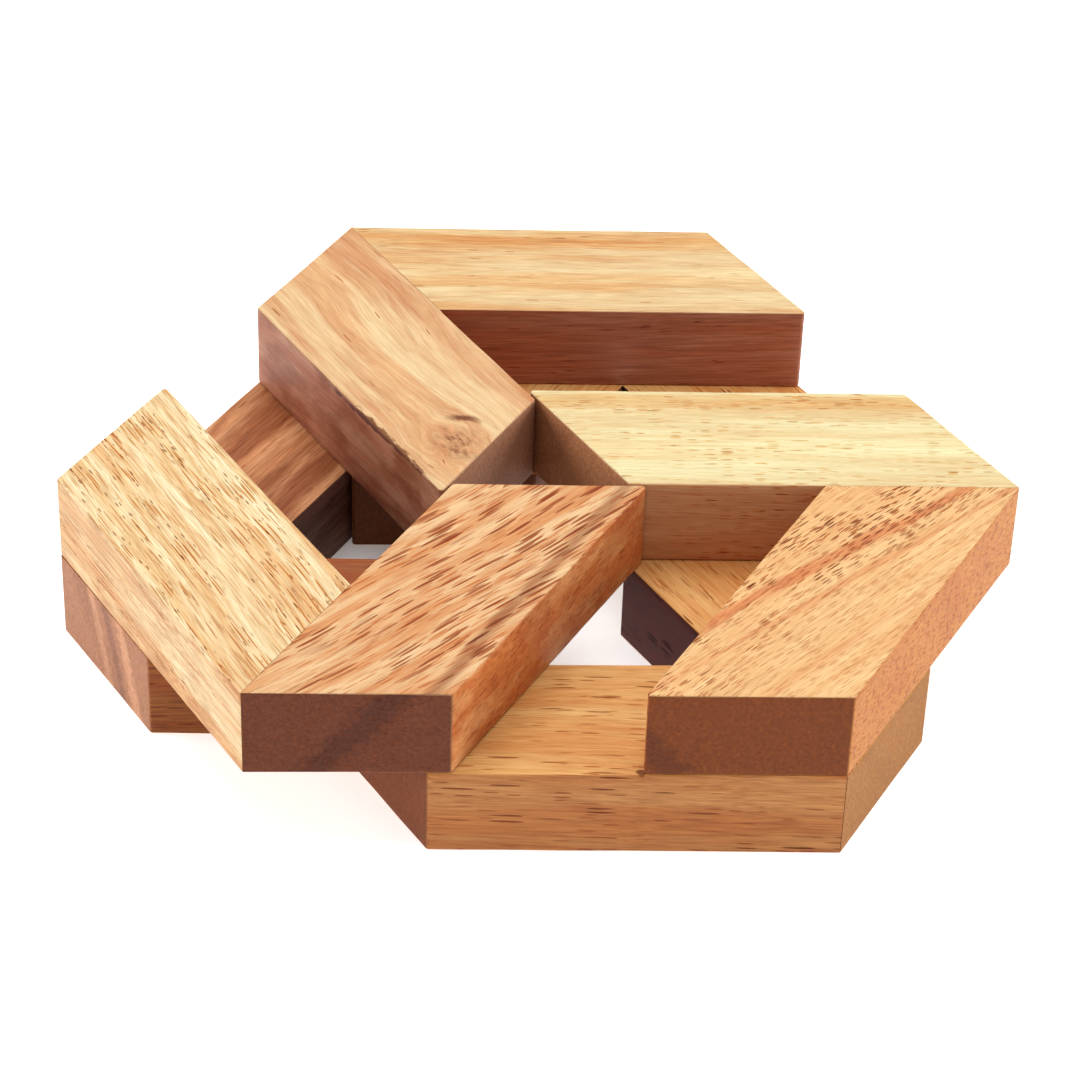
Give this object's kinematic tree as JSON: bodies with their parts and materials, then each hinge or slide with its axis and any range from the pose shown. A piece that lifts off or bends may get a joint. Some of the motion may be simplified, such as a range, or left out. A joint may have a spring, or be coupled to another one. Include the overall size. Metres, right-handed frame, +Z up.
{
  "type": "wooden burr puzzle",
  "caption": "Hexagonal interlocking puzzle of glued hardwood blocks, shown part way open; its pieces slide apart only all together.",
  "frame": {"origin": "middle of the bounding box in plan, on the surface that the puzzle stands on", "axes": "+Z up through the layers, +X along the outer side of one piece's lower layer, +Y the way the back piece slides out"},
  "size_m": [0.1418, 0.1232, 0.0279],
  "materials": {
    "pale_wood": "satin",
    "golden_wood": "satin",
    "amber_wood": "satin",
    "russet_wood": "satin"
  },
  "bodies": {
    "right_piece": {"right_upper_spine": "pale_wood", "right_upper_arm": "golden_wood", "right_lower_spine": "amber_wood", "right_lower_arm": "golden_wood"},
    "back_piece": {"back_upper_spine": "golden_wood", "back_upper_arm": "golden_wood", "back_lower_spine": "russet_wood", "back_lower_arm": "amber_wood"},
    "left_piece": {"left_upper_spine": "amber_wood", "left_upper_arm": "pale_wood", "left_lower_spine": "russet_wood", "left_lower_arm": "russet_wood"}
  },
  "joints": [
    {"name": "back_slide", "type": "slide", "parent": "right_piece", "child": "back_piece", "axis": [-0.5, 0.866, 0], "range_m": [-0.0255, 0.045]},
    {"name": "left_slide", "type": "slide", "parent": "right_piece", "child": "left_piece", "axis": [-1, 0, 0], "range_m": [-0.0255, 0.045]}
  ],
  "couplings": [
    {"joint": "left_slide", "follows": "back_slide", "ratio": 1}
  ]
}
